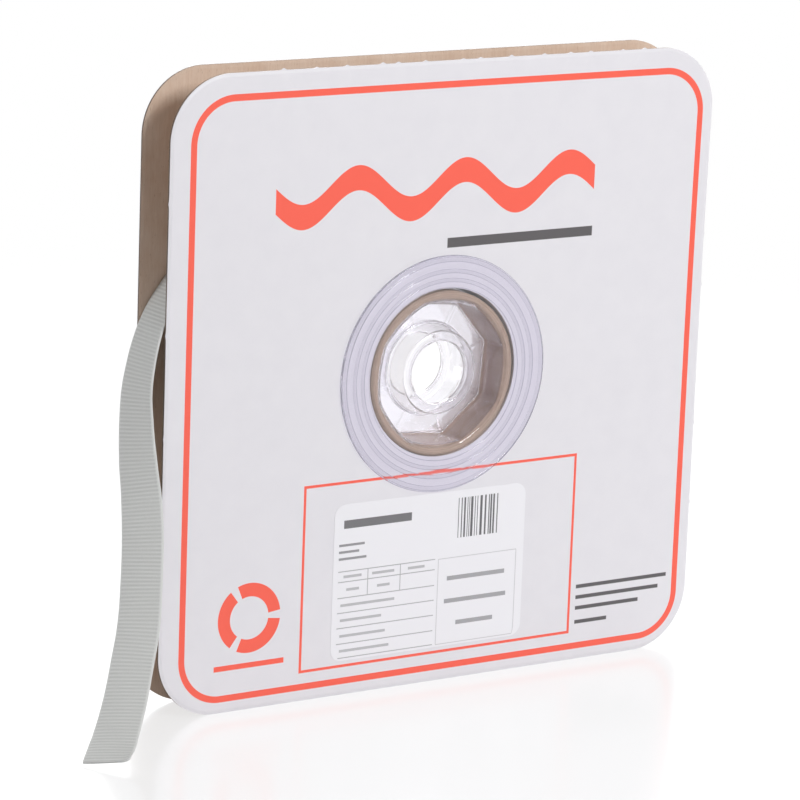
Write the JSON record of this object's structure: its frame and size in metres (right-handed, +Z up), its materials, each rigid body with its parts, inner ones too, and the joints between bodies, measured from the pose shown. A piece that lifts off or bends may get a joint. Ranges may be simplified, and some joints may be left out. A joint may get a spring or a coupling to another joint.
{
  "type": "hook and loop tape roll",
  "caption": "Grey hook and loop tape wound on a cardboard core between square printed corrugated flanges, with clear hubs round a spindle bore and the free end hanging out.",
  "frame": {"origin": "on the floor under the middle of the reel, halfway between its two flanges", "axes": "+Z up, +X to the right as seen from the printed front flange, +Y from the front flange to the rear one"},
  "size_m": [0.3056, 0.0733, 0.254],
  "materials": {
    "printed_white_board": "white clay-coated liner with a printed orange border line, slight satin sheen",
    "kraft_board": "uncoated brown kraft paper, matt, fibrous",
    "label_paper": "smooth white label paper with thin grey ruled lines",
    "core_board": "spiral-wound brown core board, matt",
    "clear_plastic": "clear moulded plastic with a faint lilac tint, glossy",
    "grey_tape": "light grey hook and loop pile with fine cross ribs, matt"
  },
  "bodies": {
    "front_flange": {"front_outer_liner": "printed_white_board", "front_fluting": "kraft_board", "front_inner_liner": "kraft_board", "product_label": "label_paper"},
    "rear_flange": {"rear_outer_liner": "printed_white_board", "rear_fluting": "kraft_board", "rear_inner_liner": "kraft_board"},
    "roll": {"core_tube": "core_board", "hub_front": "clear_plastic", "hub_rear": "clear_plastic", "tape_pack": "grey_tape", "tape_outer_turns": "grey_tape"},
    "free_end": {"tape_tail": "grey_tape"}
  },
  "joints": [
    {"name": "tape_pull", "type": "slide", "parent": "front_flange", "child": "free_end", "axis": [-1, 0, 0], "range_m": [0, 0.15]},
    {"name": "roll_spin", "type": "hinge", "parent": "front_flange", "child": "roll", "pos_m": [0, 0, 0.1279], "axis": [0, -1, 0], "continuous": true},
    {"name": "rear_flange_turn", "type": "hinge", "parent": "front_flange", "child": "rear_flange", "pos_m": [0, 0, 0.1285], "axis": [0, -1, 0], "continuous": true}
  ],
  "couplings": [
    {"joint": "roll_spin", "follows": "tape_pull", "rad_per_m": 9.6}
  ]
}
